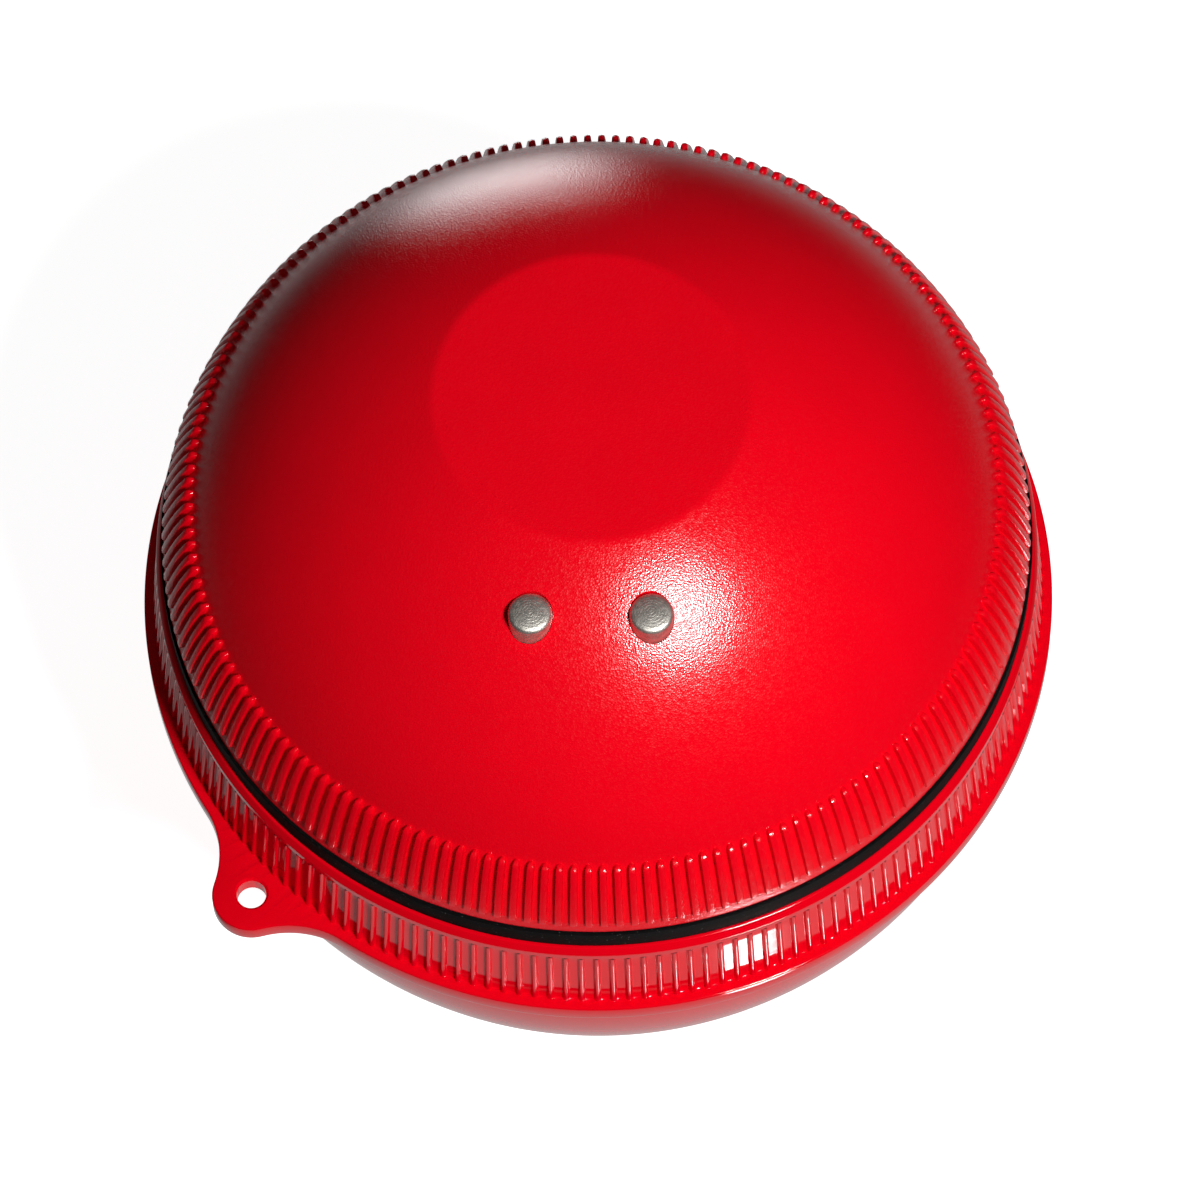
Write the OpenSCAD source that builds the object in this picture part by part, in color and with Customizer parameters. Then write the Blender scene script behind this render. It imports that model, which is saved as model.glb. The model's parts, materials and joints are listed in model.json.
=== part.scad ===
// Waterproof electronic metronome in a ball-shaped case. Two ribbed halves screw together
// on a rubber seal. Two metal touch contacts stand through the dome, and a piezo disc under
// the flat facet makes the beat. The circuit board and its coin cell hang in the upper half.
// The origin is the centre of the foot. Z is the case's axis and the contacts face -Y.

/* [Case] */
// Diameter of the flange round the middle of the case
flange_d = 42; // [41:0.5:48]
// Thickness of the flange
flange_t = 1; // [0.8:0.1:1.4]
// How far the side of the bowl lies inside the flange's edge
bowl_inset = 0.75; // [0.6:0.05:1.1]
// How far the bowl's centre lies below the flange's upper face
bowl_drop = 1; // [0.4:0.1:1.2]
// Diameter of the flat foot under the bowl
foot_d = 14.2; // [12:0.2:18]
// How far the side of the dome lies inside the flange's edge
dome_inset = 0.5; // [0.3:0.05:0.7]
// How far the dome's centre lies above the flange's upper face
dome_rise = 0.65; // [0.4:0.05:0.8]
// Diameter of the flat facet on top of the dome
facet_d = 14.2; // [13.8:0.2:16]
// Wall of both halves
wall = 1.6; // [1.4:0.1:1.7]

/* [Grip bands] */
// Number of ribs round each band
rib_count = 180; // [120:4:180]
// Width of an upper rib at its foot
upper_rib_w = 0.38; // [0.3:0.02:0.42]
// Height of an upper rib above the dome
upper_rib_h = 0.33; // [0.2:0.01:0.36]
// Height of the upper band of ribs
upper_band_h = 3; // [2.5:0.01:3.5]
// Height of the plain rim below the upper ribs
rim_h = 0.7; // [0.6:0.01:1.1]
// Width of a lower rib at its foot
lower_rib_w = 0.29; // [0.22:0.01:0.36]
// Height of a lower rib above the wall
lower_rib_h = 0.18; // [0.12:0.01:0.3]
// Height of the lower band of ribs
lower_band_h = 3.93; // [3.5:0.01:4.3]
// Width of the flat ledge between the lower ribs and the flange's edge
ledge_w = 0.48; // [0.4:0.01:0.7]
// How far the lower band leans in towards its top
band_lean = 0.34; // [0.2:0.01:0.5]
// Height of the plain lip above the lower ribs
lip_h = 0.82; // [0.6:0.01:1]
// Bevel round the top of the lip
lip_bevel = 0.2; // [0.1:0.01:0.3]

/* [Lanyard eye] */
// Direction of the eye round the case, in degrees from +X
eye_angle = 224.3; // [0:0.1:359.9]
// Diameter of the lanyard hole
eye_hole_d = 1.34; // [1:0.02:1.8]
// Radius of the eye's round end
eye_r = 1.8; // [1.5:0.05:2.2]
// How far the hole's centre lies outside the flange's edge
eye_reach = 0.89; // [0.4:0.01:1.6]
// Radius of the hollow blends between the eye and the flange
eye_blend_r = 4.5; // [3:0.1:6]

/* [Screw joint] */
// Wall of the collar behind the lower ribs
collar_wall = 1.6; // [1.3:0.05:1.7]
// Height of the seal
seal_h = 1.4; // [1.1:0.01:1.6]
// Gap above and below the seal
seal_gap = 0.04; // [0.02:0.01:0.08]
// How far the seal stands out past the rim
seal_proud = 0.15; // [0:0.01:0.2]
// Gap between the seal and the spigot inside it
seal_fit = 0.06; // [0.03:0.01:0.1]
// Gap between the spigot's seat and the collar's bore
seat_fit = 0.1; // [0.05:0.01:0.15]
// Depth that the thread takes below the collar's bore
thread_depth = 0.4; // [0.3:0.02:0.45]
// Wall of the spigot behind the thread
spigot_wall = 1.3; // [1.1:0.05:1.4]
// How deep the spigot stands in the collar
spigot_reach = 4.5; // [3.5:0.1:4.8]

/* [Touch contacts] */
// Diameter of a contact stud
stud_d = 1.95; // [1.6:0.05:2.2]
// Distance between the two studs
stud_gap = 5.3; // [5.1:0.1:6.5]
// Distance of the studs from the inside of the dome, level with their clamp plate
stud_inset = 3.96; // [3.7:0.02:4.2]
// Least gap between the studs' seat in the dome and the sounder's ring
pod_gap = 0.1; // [0.1:0.05:0.5]
// How far a stud's face stands above the dome at its uphill edge
stud_lift = 0.04; // [0:0.01:0.3]
// How far a stud's shoulder stands out past its side
shoulder_w = 0.52; // [0.45:0.01:0.6]
// Thickness of a stud's shoulder
shoulder_t = 0.7; // [0.5:0.05:0.8]
// Thickness of a stud's sealing ring
o_ring_t = 0.54; // [0.42:0.02:0.6]
// Thickness of the plate that clamps the studs
clamp_t = 0.8; // [0.6:0.05:0.9]
// Gap between the clamp plate and the inside of the dome
clamp_gap = 0.3; // [0.2:0.05:0.5]
// Diameter of a stud's tail
tail_d = 1.2; // [0.9:0.05:1.4]
// Thickness of the leaf springs that touch the tails
leaf_t = 0.15; // [0.1:0.01:0.2]
// Width of a leaf spring
leaf_w = 1.2; // [0.8:0.1:1.6]
// Length of a leaf spring's two arms
leaf_l = 2.2; // [1.8:0.1:2.6]

/* [Sounder] */
// Diameter of the brass plate
piezo_d = 12; // [10:0.1:12.2]
// Thickness of the brass plate
piezo_t = 0.2; // [0.1:0.05:0.3]
// Diameter of the ceramic disc
ceramic_d = 9; // [8:0.1:10]
// Thickness of the ceramic disc
ceramic_t = 0.2; // [0.1:0.05:0.3]
// Thickness of the silvered electrode
electrode_t = 0.04; // [0.02:0.01:0.08]
// Height of the ring that carries the sounder
sounder_seat_h = 0.5; // [0.3:0.05:0.8]
// Thickness of the glue under the sounder
glue_t = 0.1; // [0.05:0.01:0.2]
// Diameter of a sounder wire
wire_d = 0.5; // [0.4:0.02:0.6]

/* [Circuit board] */
// Height of the board's upper face above the flange's upper face
board_level = 10.6; // [10.2:0.05:10.9]
// Thickness of the board
board_t = 1; // [0.8:0.1:1.2]
// Gap between the board's edge and the dome
board_gap = 1.5; // [1.2:0.05:1.8]
// Distance of a board screw from the board's edge
screw_edge = 1.8; // [1.7:0.05:2]
// Diameter of a screw boss
boss_d = 3.8; // [3.2:0.1:4.2]
// Diameter of the screws' shanks
screw_d = 1.3; // [1:0.05:1.5]
// Diameter of the screws' heads
screw_head_d = 2.6; // [2.2:0.05:2.8]
// Height of the screws' heads
screw_head_h = 0.8; // [0.6:0.05:0.9]
// Length of a screw in its boss
screw_bite = 3; // [2:0.1:3.2]
// Height from the board to the face that the clamp plate lies on
pod_level = 2.8; // [2.6:0.05:2.9]

/* [Coin cell] */
// Diameter of the cell
cell_d = 20; // [16:0.1:20.2]
// Height of the cell
cell_h = 3.2; // [2.5:0.1:3.4]
// Wall of the cell holder
holder_wall = 1.1; // [0.8:0.05:1.15]
// Thickness of the cell holder's floor
holder_floor = 0.6; // [0.5:0.05:0.8]
// Gap between the cell and what holds it
cell_gap = 0.1; // [0.05:0.05:0.2]
// Gap between the cell holder and the heads of the board screws
head_gap = 0.2; // [0.1:0.05:0.4]
// Gap between a leg of the clip and the cell
clip_gap = 0.22; // [0.15:0.01:0.3]
// Width of the clip over the cell
clip_w = 4; // [3:0.2:5]
// Thickness of the clip
clip_t = 0.25; // [0.2:0.01:0.3]

/* [Hidden] */
$fn = 48;
round_fn = 180;
eps = 0.01;
slip = 0.02;

// Radii of the case
flange_r = flange_d / 2;
bowl_r = flange_r - bowl_inset;
dome_r = flange_r - dome_inset;
bowl_in_r = bowl_r - wall;
dome_in_r = dome_r - wall;
rib_foot_r = flange_r - ledge_w;
rib_top_r = rib_foot_r - band_lean;
collar_bore_r = rib_top_r - lower_rib_h - collar_wall;
seat_r = collar_bore_r - seat_fit;
spigot_r = collar_bore_r - thread_depth;
spigot_bore_r = spigot_r - spigot_wall;

// Heights of the case above the foot
bowl_z = sqrt(pow(bowl_r, 2) - pow(foot_d / 2, 2));
flange_z = bowl_z + bowl_drop;
lip_z = flange_z + lower_band_h;
collar_z = lip_z + lip_h;
seal_z = collar_z + seal_gap;
rim_z = seal_z + seal_h + seal_gap;
upper_rib_z = rim_z + rim_h;
rib_tip_z = upper_rib_z + upper_band_h;
dome_z = flange_z + dome_rise;
facet_z = dome_z + sqrt(pow(dome_r, 2) - pow(facet_d / 2, 2));
facet_in_z = facet_z - wall;
spigot_z = collar_z - spigot_reach;
crest_r = dome_r + upper_rib_h;

function sphere_r_at(radius, height) = sqrt(pow(radius, 2) - pow(height, 2));

// Heights and radii of what hangs in the dome
board_z = flange_z + board_level;
board_r = sphere_r_at(dome_in_r, board_z - dome_z) - board_gap;
board_low_z = board_z - board_t;
boss_reach = board_r - screw_edge;
boss_angles = [90, 210, 330];
pod_z = board_z + pod_level;
clamp_z = pod_z - clamp_t;

sounder_seat_r = piezo_d / 2 + 0.1;

// The contacts
stud_r = stud_d / 2;
shoulder_r = stud_r + shoulder_w;
sink_r = shoulder_r + 0.1;
sink_h = shoulder_t + o_ring_t + 2 * slip;
pod_r = sink_r + 0.7;
pod_in_r = sphere_r_at(dome_in_r, pod_z - dome_z);
clamp_reach = pod_in_r - clamp_gap;
stud_front = max(pod_in_r - stud_inset, sounder_seat_r + pod_gap + pod_r);
stud_top_z = dome_z + stud_lift
    + sqrt(pow(dome_r, 2) - pow(stud_gap / 2, 2) - pow(stud_front - stud_r, 2));
tail_r = tail_d / 2;
tail_z = clamp_z - 0.3;
stud_x = stud_gap / 2;

// The sounder, hung from the facet
sounder_seat_z = facet_in_z - sounder_seat_h;
plate_z = sounder_seat_z - glue_t - piezo_t;
ceramic_z = plate_z - ceramic_t;
electrode_z = ceramic_z - electrode_t;
electrode_r = ceramic_d / 2 - 0.3;
solder_r = 0.5;
solder_h = 0.25;

// The cell, hung under the board
holder_z = board_low_z - holder_floor;
cell_top_z = min(holder_z, board_low_z - screw_head_h) - cell_gap;
cell_z = cell_top_z - cell_h;
cell_r = cell_d / 2;
pocket_r = cell_r + cell_gap;
holder_r = pocket_r + holder_wall;
cap_proud = 0.3;
cap_depth = 0.5;
cap_r = cell_r - 1.3;
gasket_w = 0.5;
contact_w = 3;
contact_t = 0.2;

// ---- Shared shapes ----

// Profile of a cap cut from a disc: the right half of a circle above and below two heights
module round_profile(radius, centre_z, low_z, high_z) {
    intersection() {
        translate([0, centre_z]) circle(r = radius, $fn = round_fn);
        translate([0, low_z]) square([radius + 1, high_z - low_z]);
    }
}

// Points of a toothed ring's outline: each tooth narrows from its foot to its top
function tooth_points(foot_r, top_r, foot_w, top_w) = [
    for (i = [0 : rib_count - 1])
        for (p = [[foot_r, -foot_w / 2], [top_r, -top_w / 2],
                  [top_r, top_w / 2], [foot_r, foot_w / 2]])
            let (a = 360 * i / rib_count)
                [p[0] * cos(a) - p[1] * sin(a), p[0] * sin(a) + p[1] * cos(a)]
];

// Ring of straight ribs, to be cut to shape by a turned envelope
module rib_ring(low_z, height, foot_r, top_r, foot_w, top_w) {
    translate([0, 0, low_z]) linear_extrude(height = height)
        polygon(tooth_points(foot_r, top_r, foot_w, top_w));
}

module ring(outer_r, inner_r, height) {
    difference() {
        cylinder(r = outer_r, h = height);
        translate([0, 0, -eps]) cylinder(r = inner_r, h = height + 2 * eps);
    }
}

// Flat bar with round ends, over two points on X
module stadium(gap, radius) {
    square([gap, 2 * radius], center = true);
    for (side = [-1, 1])
        translate([side * gap / 2, 0]) circle(r = radius);
}

module at_studs() {
    for (side = [-1, 1])
        translate([side * stud_x, -stud_front, 0]) children();
}

module at_bosses() {
    for (a = boss_angles)
        rotate([0, 0, a]) translate([boss_reach, 0, 0]) children();
}

// Self-tapping screw, head down, with the underside of its head at z = 0
module screw(length) {
    cylinder(d = screw_d, h = length);
    difference() {
        translate([0, 0, -screw_head_h]) cylinder(d = screw_head_d, h = screw_head_h);
        for (a = [0, 90])
            rotate([0, 0, a]) translate([0, 0, -screw_head_h])
                cube([screw_head_d * 0.6, 0.3, screw_head_h * 0.9], center = true);
    }
}

// ---- Upper half ----

// Section of the dome, its rim, the spigot and the hollow inside them
module top_profile() {
    difference() {
        union() {
            round_profile(dome_r, dome_z, rim_z, facet_z);
            translate([0, collar_z]) square([seat_r, rim_z - collar_z + 0.5]);
            translate([0, spigot_z]) square([spigot_r, collar_z - spigot_z + 0.5]);
        }
        round_profile(dome_in_r, dome_z, dome_z + sphere_r_at(dome_in_r, spigot_bore_r), facet_in_z);
        translate([0, spigot_z - 1])
            square([spigot_bore_r, dome_z + sphere_r_at(dome_in_r, spigot_bore_r) - spigot_z + 1 + eps]);
    }
}

// Ribs of the dome: their backs follow the dome, their lower ends are square and their tips slope
module upper_ribs() {
    tip_r = sphere_r_at(crest_r, rib_tip_z - dome_z);
    ring_in_r = sphere_r_at(dome_r, rib_tip_z - dome_z) - 1;
    intersection() {
        rib_ring(upper_rib_z, upper_band_h, ring_in_r + 0.4, flange_r, upper_rib_w, upper_rib_w / 3);
        rotate_extrude($fn = round_fn) difference() {
            round_profile(crest_r, dome_z, upper_rib_z, rib_tip_z);
            translate([0, upper_rib_z - eps]) square([ring_in_r, upper_band_h + 2 * eps]);
            translate([tip_r - upper_rib_h, rib_tip_z])
                rotate(-45) square([2, 2 * upper_rib_h]);
        }
    }
}

// Pod inside the dome that the two studs pass through
module stud_pod() {
    intersection() {
        translate([0, -stud_front, pod_z]) linear_extrude(height = facet_z - pod_z)
            stadium(stud_gap, pod_r);
        translate([0, 0, dome_z]) sphere(r = dome_r - wall / 2, $fn = round_fn);
    }
}

module screw_bosses() {
    intersection() {
        at_bosses() translate([0, 0, board_z]) cylinder(d = boss_d, h = facet_z - board_z);
        translate([0, 0, dome_z]) sphere(r = dome_r - wall / 2, $fn = round_fn);
    }
}

module top_shell() {
    color("crimson") difference() {
        union() {
            rotate_extrude($fn = round_fn) top_profile();
            upper_ribs();
            stud_pod();
            screw_bosses();
            translate([0, 0, sounder_seat_z])
                ring(sounder_seat_r, sounder_seat_r - 0.8, sounder_seat_h + wall / 2);
        }
        at_studs() {
            translate([0, 0, pod_z - 1]) cylinder(r = stud_r + slip, h = facet_z);
            translate([0, 0, pod_z - 1]) cylinder(r = sink_r, h = 1 + sink_h);
        }
        translate([0, -stud_front, pod_z - 1]) cylinder(r = screw_d / 2 + slip, h = 1 + 2.2);
        at_bosses() translate([0, 0, board_z - 1])
            cylinder(r = screw_d / 2 + slip, h = 1 + screw_bite + 0.2);
    }
}

// ---- Lower half ----

// Section of the bowl, lower wall and lip, with the hollow inside them
module bottom_profile() {
    valley_foot_r = rib_foot_r - lower_rib_h;
    valley_top_r = rib_top_r - lower_rib_h;
    flange_mid_z = flange_z - flange_t / 2;
    difference() {
        union() {
            round_profile(bowl_r, bowl_z, 0, flange_mid_z + eps);
            polygon([[0, flange_mid_z], [valley_foot_r, flange_mid_z], [valley_top_r, lip_z + eps],
                     [0, lip_z + eps]]);
            polygon([[0, lip_z], [rib_top_r, lip_z], [rib_top_r, collar_z - lip_h / 2],
                     [rib_top_r - lip_bevel, collar_z], [0, collar_z]]);
        }
        intersection() {
            round_profile(bowl_in_r, bowl_z, wall, bowl_z + eps);
            square([collar_bore_r, flange_z]);
        }
        translate([0, bowl_z]) square([collar_bore_r, collar_z - bowl_z + 1]);
    }
}

// Narrow ribs of the lower half, leaning in with the wall from the flange to the lip
module lower_ribs() {
    ring_in_r = collar_bore_r + 0.3;
    intersection() {
        rib_ring(flange_z - eps, lower_band_h + 2 * eps, ring_in_r + 0.3, flange_r,
            lower_rib_w, lower_rib_w / 2);
        rotate_extrude($fn = round_fn)
            polygon([[ring_in_r, flange_z - eps], [rib_foot_r, flange_z - eps],
                     [rib_top_r, lip_z + eps], [ring_in_r, lip_z + eps]]);
    }
}

// Outline of the flange and its lanyard eye, with hollow blends between the two
module flange_outline() {
    reach = flange_r + eye_reach;
    to_flange = flange_r + eye_blend_r;
    to_eye = eye_r + eye_blend_r;
    along = (pow(to_flange, 2) - pow(to_eye, 2) + pow(reach, 2)) / (2 * reach);
    aside = sqrt(pow(to_flange, 2) - pow(along, 2));
    difference() {
        union() {
            circle(r = flange_r, $fn = round_fn);
            translate([reach, 0]) circle(r = eye_r, $fn = round_fn);
            difference() {
                polygon([[0, 0], [along, aside], [reach, 0], [along, -aside]]);
                for (side = [-1, 1])
                    translate([along, side * aside]) circle(r = eye_blend_r, $fn = round_fn);
            }
        }
        circle(r = collar_bore_r + 0.5, $fn = round_fn);
        translate([reach, 0]) circle(d = eye_hole_d);
    }
}

module bottom_shell() {
    color("crimson") {
        rotate_extrude($fn = round_fn) bottom_profile();
        lower_ribs();
        rotate([0, 0, eye_angle]) translate([0, 0, flange_z - flange_t])
            linear_extrude(height = flange_t) flange_outline();
    }
}

module seal_ring() {
    rim_r = sphere_r_at(dome_r, rim_z - dome_z);
    color("black") rotate_extrude($fn = round_fn)
        translate([seat_r + seal_fit, seal_z])
            square([rim_r + seal_proud - seat_r - seal_fit, seal_h]);
}

// ---- Touch contacts ----

// Stud with a shoulder inside the dome and a thinner tail below the clamp plate
module contact_stud() {
    color("silver") {
        translate([0, 0, pod_z]) cylinder(r = stud_r, h = stud_top_z - pod_z);
        translate([0, 0, pod_z]) cylinder(r = shoulder_r, h = shoulder_t);
        translate([0, 0, tail_z]) cylinder(r = tail_r, h = pod_z - tail_z + eps);
    }
}

module contact_stud_left() {
    translate([-stud_x, -stud_front, 0]) contact_stud();
}

module contact_stud_right() {
    translate([stud_x, -stud_front, 0]) contact_stud();
}

module stud_o_rings() {
    color("dimgray") at_studs()
        translate([0, 0, pod_z + shoulder_t + slip + o_ring_t / 2]) rotate_extrude()
            translate([stud_r + slip + o_ring_t / 2, 0]) circle(d = o_ring_t);
}

module stud_clamp() {
    color("white") difference() {
        translate([0, 0, clamp_z]) linear_extrude(height = clamp_t) intersection() {
            translate([0, -stud_front]) stadium(stud_gap, pod_r - 0.1);
            circle(r = clamp_reach, $fn = round_fn);
        }
        at_studs() translate([0, 0, clamp_z - 1]) cylinder(r = tail_r + 0.1, h = clamp_t + 2);
        translate([0, -stud_front, clamp_z - 1]) cylinder(r = screw_d / 2 + 0.1, h = clamp_t + 2);
    }
}

module clamp_screw() {
    color("gray") translate([0, -stud_front, clamp_z]) screw(clamp_t + 2);
}

// Leaf springs on the board, bent over so that their upper arms touch the studs' tails
module stud_leaf_springs() {
    bend_r = (tail_z - slip - board_z) / 2;
    color("gold") at_studs() translate([leaf_w / 2, leaf_l / 2 - 0.2, board_z + bend_r])
        rotate([90, 0, -90]) linear_extrude(height = leaf_w) {
            difference() {
                circle(r = bend_r);
                circle(r = bend_r - leaf_t);
                translate([0, -bend_r - 1]) square(2 * bend_r + 2);
            }
            for (z = [-bend_r, bend_r - leaf_t])
                translate([-eps, z]) square([leaf_l, leaf_t]);
        }
}

// ---- Sounder ----

module sounder_glue() {
    color("ivory") translate([0, 0, sounder_seat_z - glue_t])
        ring(piezo_d / 2, piezo_d / 2 - 0.6, glue_t);
}

module sounder_plate() {
    color("goldenrod") translate([0, 0, plate_z]) cylinder(d = piezo_d, h = piezo_t);
}

module sounder_ceramic() {
    color("lightgray") translate([0, 0, ceramic_z]) cylinder(d = ceramic_d, h = ceramic_t);
}

module sounder_electrode() {
    color("silver") translate([0, 0, electrode_z]) cylinder(r = electrode_r, h = electrode_t);
}

// Places of the four wire joints: under the sounder, and on the board
red_top = [2, 1.5, electrode_z - solder_h];
red_foot = [4, 7.5, board_z + solder_h];
black_top = [-(ceramic_d + piezo_d) / 4, 0, plate_z - solder_h];
black_foot = [-4, 7.5, board_z + solder_h];

module wire_solder_joints() {
    color("silver") {
        for (p = [red_top, black_top])
            translate(p) cylinder(r1 = solder_r * 0.6, r2 = solder_r, h = solder_h);
        for (p = [red_foot, black_foot])
            translate([p[0], p[1], board_z]) cylinder(r1 = solder_r, r2 = solder_r * 0.6, h = solder_h);
    }
}

function curve_point(a, b, c, d, t) =
    pow(1 - t, 3) * a + 3 * pow(1 - t, 2) * t * b + 3 * (1 - t) * pow(t, 2) * c + pow(t, 3) * d;
function curve_slope(a, b, c, d, t) =
    pow(1 - t, 2) * (b - a) + 2 * (1 - t) * t * (c - b) + pow(t, 2) * (d - c);

// Round wire from one joint down to another, leaving both of them along Z
module wire(top, foot) {
    rings = 16;
    sides = 8;
    b = top - [0, 0, 3];
    c = foot + [0, 0, 3];
    points = [
        for (i = [0 : rings])
            let (t = i / rings, p = curve_point(top, b, c, foot, t),
                 s = curve_slope(top, b, c, foot, t), n = s / norm(s),
                 u = cross(n, [1, 0, 0]) / norm(cross(n, [1, 0, 0])), v = cross(n, u))
                for (k = [0 : sides - 1])
                    p + wire_d / 2 * (cos(360 * k / sides) * u + sin(360 * k / sides) * v)
    ];
    walls = [
        for (i = [0 : rings - 1])
            for (k = [0 : sides - 1])
                let (a = i * sides + k, z = i * sides + (k + 1) % sides)
                    [a, z, z + sides, a + sides]
    ];
    ends = [[for (k = [sides - 1 : -1 : 0]) k], [for (k = [0 : sides - 1]) rings * sides + k]];
    polyhedron(points = points, faces = concat(walls, ends));
}

module sounder_wire_red() {
    color("red") wire(red_top, red_foot);
}

module sounder_wire_black() {
    color("black") wire(black_top, black_foot);
}

// ---- Circuit board ----

module circuit_board() {
    color("darkgreen") difference() {
        translate([0, 0, board_low_z]) cylinder(r = board_r, h = board_t, $fn = round_fn);
        at_bosses() translate([0, 0, board_low_z - 1]) cylinder(r = screw_d / 2 + 0.2, h = board_t + 2);
    }
}

module board_screws() {
    color("gray") at_bosses() translate([0, 0, board_low_z]) screw(board_t + screw_bite);
}

chip_size = [8.6, 3.9, 1.4];
chip_at = [0, 0.5];
chip_lift = 0.15;
lead_pitch = 1.27;
lead_count = 7;
lead_w = 0.4;
lead_t = 0.2;
lead_reach = 1.1;
lead_foot = 0.65;

module microcontroller() {
    color("black") translate([chip_at[0], chip_at[1], board_z + chip_lift + chip_size[2] / 2])
        cube(chip_size, center = true);
}

// Gull-wing leads: out of the chip's side, down, and out along the board
module microcontroller_leads() {
    mid_z = chip_lift + chip_size[2] / 2;
    bend = lead_reach - lead_foot;
    color("silver") translate([chip_at[0], chip_at[1], board_z])
        for (turn = [0, 180])
            for (i = [0 : lead_count - 1])
                rotate([0, 0, turn])
                    translate([(i - (lead_count - 1) / 2) * lead_pitch + lead_w / 2, chip_size[1] / 2, 0])
                        rotate([90, 0, -90]) linear_extrude(height = lead_w)
                            polygon([[0, mid_z], [-bend, mid_z], [-bend * 4 / 3, lead_t],
                                     [-lead_reach, lead_t], [-lead_reach, 0], [-bend, 0],
                                     [-bend * 2 / 3, mid_z - lead_t], [0, mid_z - lead_t]]);
}

can_r = 1;
can_l = 6;
can_at = [7, -1.4];
can_leg_r = 0.15;
can_leg_l = 1.5;

// Small metal can that lies on the board, with two wire legs
module watch_crystal() {
    color("silver") translate([can_at[0], can_at[1], board_z + can_r + slip]) rotate([-90, 0, 0]) {
        cylinder(r = can_r, h = can_l);
        for (side = [-1, 1])
            translate([side * can_r * 0.4, 0, -can_leg_l]) cylinder(r = can_leg_r, h = can_leg_l + eps);
    }
}

// Sizes of the small parts, and the place and turn of each of them on the board
capacitor_size = [1.6, 0.8, 0.8];
capacitors_at = [[4, 4.5, 0], [-4, 4.5, 0], [0, 5.5, 90], [5, -5.5, 90]];
resistor_size = [1.6, 0.8, 0.45];
resistors_at = [[-2.8, -5.4, 90], [0, -5.5, 0], [0, 7.4, 0], [7.5, 6.5, 90]];
transistor_size = [2.9, 1.3, 1];
transistor_at = [-5.4, -3.9];
transistor_leg = [0.52, 0.4, 0.2];

module board_parts(places, size) {
    for (p = places)
        translate([p[0], p[1], board_z]) rotate([0, 0, p[2]])
            translate([-size[0] / 2, -size[1] / 2, 0]) cube(size);
}

module ceramic_capacitors() {
    color("tan") board_parts(capacitors_at, capacitor_size);
}

module chip_resistors() {
    color("black") board_parts(resistors_at, resistor_size);
}

// Flat package with two legs on its one side and one on the other
module driver_transistor() {
    leg_x = transistor_size[0] / 3;
    leg_y = (transistor_size[1] + transistor_leg[0]) / 2 - eps;
    color("black") translate([transistor_at[0], transistor_at[1], 0]) {
        board_parts([[0, 0, 0]], transistor_size);
        board_parts([[-leg_x, leg_y, 90], [leg_x, leg_y, 90], [0, -leg_y, 90]], transistor_leg);
    }
}

inductor_at = [-7.6, 2.4];
inductor_r = 2.2;
inductor_h = 3;
inductor_rim_t = 0.6;
winding_inset = 0.25;

// Bobbin-shaped core that stands on the board
module inductor_core() {
    color("dimgray") translate([inductor_at[0], inductor_at[1], board_z]) {
        cylinder(r = inductor_r, h = inductor_rim_t);
        cylinder(r = inductor_r / 2, h = inductor_h);
        translate([0, 0, inductor_h - inductor_rim_t]) cylinder(r = inductor_r, h = inductor_rim_t);
    }
}

module inductor_winding() {
    color("peru") translate([inductor_at[0], inductor_at[1], board_z + inductor_rim_t + slip])
        ring(inductor_r - winding_inset, inductor_r / 2 + slip,
             inductor_h - 2 * inductor_rim_t - 2 * slip);
}

// ---- Coin cell ----

// Round holder: a floor against the board, a wall round the cell, and slots for the clip
module battery_holder() {
    color("ivory") difference() {
        translate([0, 0, cell_z + 0.4]) cylinder(r = holder_r, h = board_low_z - cell_z - 0.4);
        translate([0, 0, cell_z - 1]) cylinder(r = pocket_r, h = holder_z - cell_z + 1);
        translate([0, 0, holder_z - 1]) cylinder(r = cell_r / 2, h = holder_floor + 2);
        at_bosses() translate([0, 0, cell_z])
            cylinder(r = screw_head_d / 2 + head_gap, h = board_low_z - cell_z + 1);
        for (side = [-1, 1])
            translate([side * holder_r, 0, board_low_z])
                cube([2 * (holder_wall + clip_t + clip_gap), clip_w + 2 * clip_gap,
                      2 * (board_low_z - cell_z)], center = true);
        translate([0, holder_r, cell_z])
            cube([cell_r, 2 * holder_wall + 2, 2 * (holder_z - cell_z)], center = true);
    }
}

// Spring-steel strap under the cell, with a leg up to the board at either end
module battery_clip() {
    leg_x = cell_r + clip_gap + clip_t / 2;
    color("silver") {
        translate([-leg_x, -clip_w / 2, cell_z - clip_t - slip]) cube([2 * leg_x, clip_w, clip_t]);
        for (side = [-1, 1])
            translate([side * leg_x - clip_t / 2, -clip_w / 2, cell_z - clip_t - slip])
                cube([clip_t, clip_w, board_low_z - cell_z + clip_t + slip]);
    }
}

// Sprung tongue between the board and the cell's negative side
module battery_contact() {
    drop = board_low_z - cell_top_z - slip;
    foot_l = 2;
    color("gold") translate([-contact_w / 2, -contact_w, board_low_z]) {
        translate([0, 0, -contact_t]) cube([contact_w, foot_l, contact_t]);
        translate([0, foot_l - contact_t, -drop]) cube([contact_w, contact_t, drop]);
        translate([0, foot_l - contact_t, -drop]) cube([contact_w, contact_w, contact_t]);
    }
}

module coin_cell_can() {
    color("silver") difference() {
        translate([0, 0, cell_z]) cylinder(r = cell_r, h = cell_h - cap_proud);
        translate([0, 0, cell_top_z - cap_proud - cap_depth])
            cylinder(r = cap_r + gasket_w, h = cap_depth + 1);
    }
}

module coin_cell_gasket() {
    color("black") translate([0, 0, cell_top_z - cap_proud - cap_depth])
        ring(cap_r + gasket_w - slip, cap_r + slip, cap_depth);
}

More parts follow.
